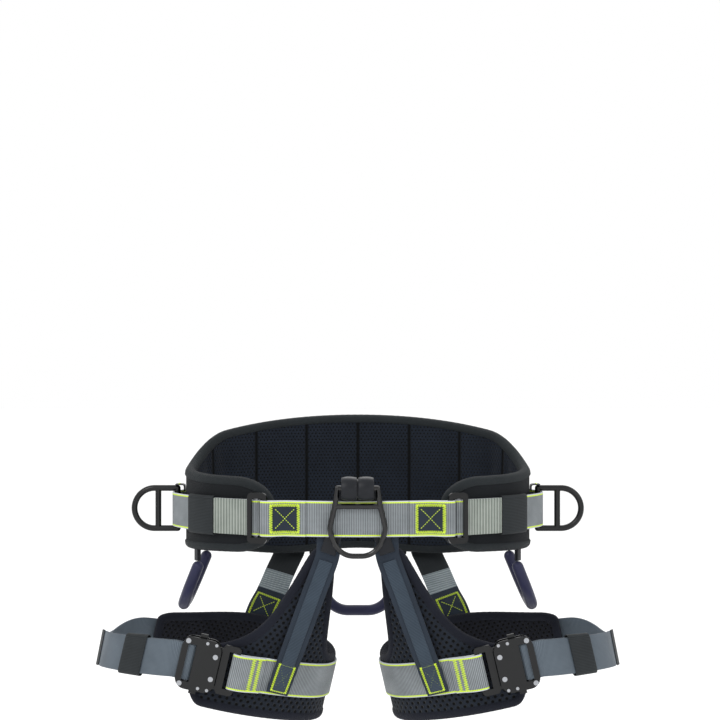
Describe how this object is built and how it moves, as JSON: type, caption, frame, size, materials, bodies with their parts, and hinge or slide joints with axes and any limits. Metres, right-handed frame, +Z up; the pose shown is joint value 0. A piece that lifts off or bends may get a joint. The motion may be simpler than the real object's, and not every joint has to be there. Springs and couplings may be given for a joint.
{
  "type": "tree climbing saddle",
  "caption": "Padded climbing saddle: waist belt with side D-rings and a ventral ring, gear loops, and padded leg loops with quick-connect buckles",
  "frame": {"origin": "centre of the waist opening, level with the middle of the belt webbing", "axes": "+X across the wearer, towards the viewer's right when seen from the front; +Y towards the back pad; +Z up"},
  "size_m": [0.6992, 0.2857, 0.3925],
  "materials": {
    "belt_webbing": "ribbed polyester webbing with bright edges",
    "anchor_cloth": "black tape",
    "black_steel": "satin black coat",
    "keeper_elastic": "woven elastic",
    "rivet_steel": "bright rivets",
    "tang_steel": "black coat with bright edges",
    "loop_plastic": "moulded loop",
    "edge_tape": "rolled binding tape",
    "leg_mesh": "coarse spacer mesh",
    "riser_webbing": "twill webbing",
    "strap_webbing": "plain polyester webbing",
    "ring_tab_cloth": "black webbing tape",
    "ring_steel": "satin black powder coat",
    "roll_cloth": "satin webbing",
    "ventral_steel": "gloss black coat",
    "cover_cloth": "fine black twill",
    "foam": "closed-cell foam",
    "mesh_lining": "spacer mesh"
  },
  "bodies": {
    "root": {"front_webbing": "belt_webbing", "gear_loop_anchors": "anchor_cloth", "left_adjuster_frame": "black_steel", "left_belt_keeper": "keeper_elastic", "left_rear_adjuster": "black_steel", "left_rear_anchor": "belt_webbing", "left_ring_tab": "ring_tab_cloth", "left_tie_loop": "roll_cloth", "right_adjuster_frame": "black_steel", "right_belt_keeper": "keeper_elastic", "right_rear_adjuster": "black_steel", "right_rear_anchor": "belt_webbing", "right_ring_tab": "ring_tab_cloth", "right_tie_loop": "roll_cloth", "ventral_sleeve": "roll_cloth", "waist_pad_binding": "edge_tape", "waist_pad_cover": "cover_cloth", "waist_pad_foam": "foam", "waist_pad_lining": "mesh_lining", "waist_webbing": "belt_webbing"},
    "left_leg": {"left_leg_pad": "leg_mesh", "left_leg_binding": "edge_tape", "left_leg_webbing": "belt_webbing", "left_leg_riser": "riser_webbing", "left_buckle_tang": "tang_steel", "left_rear_riser": "belt_webbing"},
    "left_closure": {"left_buckle_base": "black_steel", "left_buckle_cover": "black_steel", "left_buckle_rivets": "rivet_steel", "left_buckle_bar": "black_steel", "left_leg_strap": "strap_webbing", "left_leg_keeper": "keeper_elastic"},
    "left_latch_up": {"left_upper_latch": "tang_steel"},
    "left_latch_down": {"left_lower_latch": "tang_steel"},
    "left_ring": {"left_side_ring": "ring_steel"},
    "left_gear": {"left_gear_loop": "loop_plastic"},
    "left_bar": {"left_adjuster_bar": "black_steel"},
    "right_leg": {"right_leg_pad": "leg_mesh", "right_leg_binding": "edge_tape", "right_leg_webbing": "belt_webbing", "right_leg_riser": "riser_webbing", "right_buckle_tang": "tang_steel", "right_rear_riser": "belt_webbing"},
    "right_closure": {"right_buckle_base": "black_steel", "right_buckle_cover": "black_steel", "right_buckle_rivets": "rivet_steel", "right_buckle_bar": "black_steel", "right_leg_strap": "strap_webbing", "right_leg_keeper": "keeper_elastic"},
    "right_latch_up": {"right_upper_latch": "tang_steel"},
    "right_latch_down": {"right_lower_latch": "tang_steel"},
    "right_ring": {"right_side_ring": "ring_steel"},
    "right_gear": {"right_gear_loop": "loop_plastic"},
    "right_bar": {"right_adjuster_bar": "black_steel"},
    "front_ring": {"ventral_ring": "ventral_steel"},
    "rear_gear": {"rear_gear_loop": "loop_plastic"}
  },
  "joints": [
    {"name": "ventral_ring_swing", "type": "hinge", "parent": "root", "child": "front_ring", "pos_m": [0, -0.1373, 0.039], "axis": [-1, 0, 0], "range_deg": [0, 165]},
    {"name": "left_ring_swing", "type": "hinge", "parent": "root", "child": "left_ring", "pos_m": [-0.242, 0, 0], "axis": [0, 0, 1], "range_deg": [-70, 70]},
    {"name": "left_gear_swing", "type": "hinge", "parent": "root", "child": "left_gear", "pos_m": [-0.20933, 0, -0.07146], "axis": [0, 1, 0], "range_deg": [-10, 35]},
    {"name": "left_bar_slide", "type": "slide", "parent": "root", "child": "left_bar", "axis": [-0.9437, 0.3308, 0], "range_m": [0, 0.004]},
    {"name": "left_leg_swing", "type": "hinge", "parent": "root", "child": "left_leg", "pos_m": [-0.06, 0, -0.045], "axis": [0, 1, 0], "range_deg": [-10, 4]},
    {"name": "left_closure_slide", "type": "slide", "parent": "left_leg", "child": "left_closure", "axis": [-0.9744, 0, 0.225], "range_m": [0, 0.02]},
    {"name": "left_latch_up_slide", "type": "slide", "parent": "left_closure", "child": "left_latch_up", "axis": [-0.225, 0, -0.9744], "range_m": [0, 0.004], "stiffness_N_per_m": 200},
    {"name": "left_latch_down_slide", "type": "slide", "parent": "left_closure", "child": "left_latch_down", "axis": [0.225, 0, 0.9744], "range_m": [0, 0.004], "stiffness_N_per_m": 200},
    {"name": "right_ring_swing", "type": "hinge", "parent": "root", "child": "right_ring", "pos_m": [0.242, 0, 0], "axis": [0, 0, -1], "range_deg": [-70, 70]},
    {"name": "right_gear_swing", "type": "hinge", "parent": "root", "child": "right_gear", "pos_m": [0.20933, 0, -0.07146], "axis": [0, -1, 0], "range_deg": [-10, 35]},
    {"name": "right_bar_slide", "type": "slide", "parent": "root", "child": "right_bar", "axis": [0.9437, 0.3308, 0], "range_m": [0, 0.004]},
    {"name": "right_leg_swing", "type": "hinge", "parent": "root", "child": "right_leg", "pos_m": [0.06, 0, -0.045], "axis": [0, -1, 0], "range_deg": [-10, 4]},
    {"name": "right_closure_slide", "type": "slide", "parent": "right_leg", "child": "right_closure", "axis": [0.9744, 0, 0.225], "range_m": [0, 0.02]},
    {"name": "right_latch_up_slide", "type": "slide", "parent": "right_closure", "child": "right_latch_up", "axis": [0.225, 0, -0.9744], "range_m": [0, 0.004], "stiffness_N_per_m": 200},
    {"name": "right_latch_down_slide", "type": "slide", "parent": "right_closure", "child": "right_latch_down", "axis": [-0.225, 0, 0.9744], "range_m": [0, 0.004], "stiffness_N_per_m": 200},
    {"name": "rear_gear_swing", "type": "hinge", "parent": "root", "child": "rear_gear", "pos_m": [0, 0.11882, -0.08643], "axis": [1, 0, 0], "range_deg": [-8, 50]}
  ],
  "couplings": [
    {"joint": "left_latch_up_slide", "follows": "left_closure_slide", "ratio": 0.2},
    {"joint": "left_latch_down_slide", "follows": "left_closure_slide", "ratio": 0.2},
    {"joint": "right_latch_up_slide", "follows": "right_closure_slide", "ratio": 0.2},
    {"joint": "right_latch_down_slide", "follows": "right_closure_slide", "ratio": 0.2}
  ]
}
